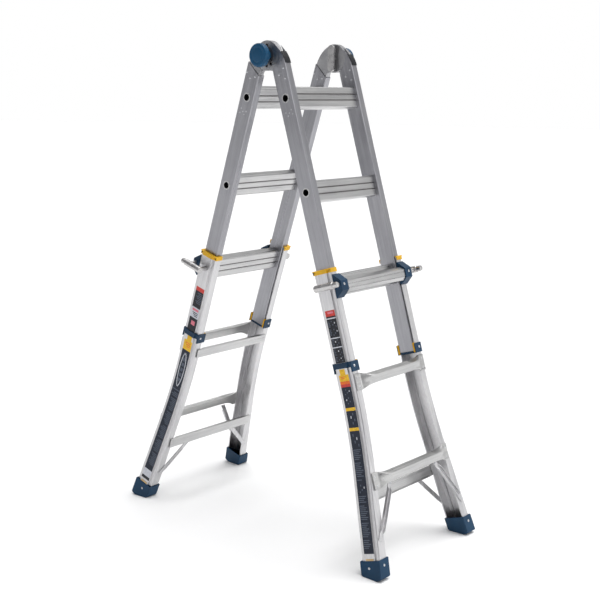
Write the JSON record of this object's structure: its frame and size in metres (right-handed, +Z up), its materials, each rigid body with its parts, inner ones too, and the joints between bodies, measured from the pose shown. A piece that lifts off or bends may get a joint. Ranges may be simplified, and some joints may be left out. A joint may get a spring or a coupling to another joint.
{
  "type": "multi position ladder",
  "caption": "Telescoping multi-position ladder: fluted-rung inner frames on locking hinges, flared outer frames with steps, braces, navy guides and rubber shoes.",
  "frame": {"origin": "on the floor, midway between the four feet, under the hinge axis", "axes": "+Z up, X along the rungs and the hinge axis, the front frame leans towards -Y and the rear frame towards +Y"},
  "size_m": [0.5478, 1.1426, 1.6335],
  "materials": {
    "aluminium": "mill finish extrusion, satin",
    "cast_aluminium": "satin",
    "steel": "zinc plated, satin",
    "navy_plastic": "moulded, fine texture",
    "navy_rubber": "matte",
    "yellow_plastic": "moulded, satin",
    "blue_plastic": "moulded, satin"
  },
  "bodies": {
    "front_inner_frame": {"front_inner_rail_left": "aluminium", "front_inner_rail_right": "aluminium", "front_upper_rung": "aluminium", "front_middle_rung": "aluminium", "front_lower_rung": "aluminium", "front_hinge_plate_left": "cast_aluminium", "front_hinge_plate_right": "cast_aluminium"},
    "front_outer_frame": {"front_top_outer_rung": "aluminium", "front_upper_step": "aluminium", "front_lower_step": "aluminium", "front_upper_back_bar": "aluminium", "front_lower_back_bar": "aluminium", "front_outer_rail_left": "aluminium", "front_outer_rail_right": "aluminium", "front_top_rung_bracket_left": "navy_plastic", "front_top_rung_bracket_right": "navy_plastic", "front_rail_top_cap_left": "yellow_plastic", "front_rail_top_cap_right": "yellow_plastic", "front_rail_guide_left": "navy_plastic", "front_rail_guide_right": "navy_plastic", "front_climbing_brace_left": "aluminium", "front_climbing_brace_right": "aluminium", "front_back_brace_left": "aluminium", "front_back_brace_right": "aluminium", "front_shoe_left": "navy_rubber", "front_shoe_right": "navy_rubber"},
    "front_lock_left": {"front_telescoping_lock_left": "steel"},
    "front_lock_right": {"front_telescoping_lock_right": "steel"},
    "rear_inner_frame": {"rear_inner_rail_left": "aluminium", "rear_inner_rail_right": "aluminium", "rear_upper_rung": "aluminium", "rear_middle_rung": "aluminium", "rear_lower_rung": "aluminium", "rear_hinge_plate_left": "cast_aluminium", "rear_hinge_plate_right": "cast_aluminium"},
    "rear_outer_frame": {"rear_top_outer_rung": "aluminium", "rear_upper_step": "aluminium", "rear_lower_step": "aluminium", "rear_upper_back_bar": "aluminium", "rear_lower_back_bar": "aluminium", "rear_outer_rail_left": "aluminium", "rear_outer_rail_right": "aluminium", "rear_top_rung_bracket_left": "navy_plastic", "rear_top_rung_bracket_right": "navy_plastic", "rear_rail_top_cap_left": "yellow_plastic", "rear_rail_top_cap_right": "yellow_plastic", "rear_rail_guide_left": "navy_plastic", "rear_rail_guide_right": "navy_plastic", "rear_climbing_brace_left": "aluminium", "rear_climbing_brace_right": "aluminium", "rear_back_brace_left": "aluminium", "rear_back_brace_right": "aluminium", "rear_shoe_left": "navy_rubber", "rear_shoe_right": "navy_rubber"},
    "rear_lock_left": {"rear_telescoping_lock_left": "steel"},
    "rear_lock_right": {"rear_telescoping_lock_right": "steel"},
    "hinge_lock_left": {"hinge_lock_bar_left": "steel", "hinge_knob_left": "blue_plastic"},
    "hinge_lock_right": {"hinge_lock_bar_right": "steel", "hinge_knob_right": "blue_plastic"}
  },
  "joints": [
    {"name": "fold", "type": "hinge", "parent": "front_inner_frame", "child": "rear_inner_frame", "pos_m": [0, 0, 1.586], "axis": [1, 0, 0], "range_deg": [-34.5, 145.5]},
    {"name": "front_extend", "type": "slide", "parent": "front_inner_frame", "child": "front_outer_frame", "axis": [0, 0.2965, 0.955], "range_m": [0, 0.6096]},
    {"name": "rear_extend", "type": "slide", "parent": "rear_inner_frame", "child": "rear_outer_frame", "axis": [0, -0.2965, 0.955], "range_m": [0, 0.6096]},
    {"name": "front_lock_left", "type": "slide", "parent": "front_outer_frame", "child": "front_lock_left", "axis": [-1, 0, 0], "range_m": [-0.02, 0.012]},
    {"name": "front_lock_right", "type": "slide", "parent": "front_outer_frame", "child": "front_lock_right", "axis": [1, 0, 0], "range_m": [-0.02, 0.012]},
    {"name": "rear_lock_left", "type": "slide", "parent": "rear_outer_frame", "child": "rear_lock_left", "axis": [-1, 0, 0], "range_m": [-0.02, 0.012]},
    {"name": "rear_lock_right", "type": "slide", "parent": "rear_outer_frame", "child": "rear_lock_right", "axis": [1, 0, 0], "range_m": [-0.02, 0.012]},
    {"name": "hinge_lock_left", "type": "slide", "parent": "rear_inner_frame", "child": "hinge_lock_left", "axis": [-1, 0, 0], "range_m": [0, 0.0095]},
    {"name": "hinge_lock_right", "type": "slide", "parent": "rear_inner_frame", "child": "hinge_lock_right", "axis": [1, 0, 0], "range_m": [0, 0.0095]}
  ]
}
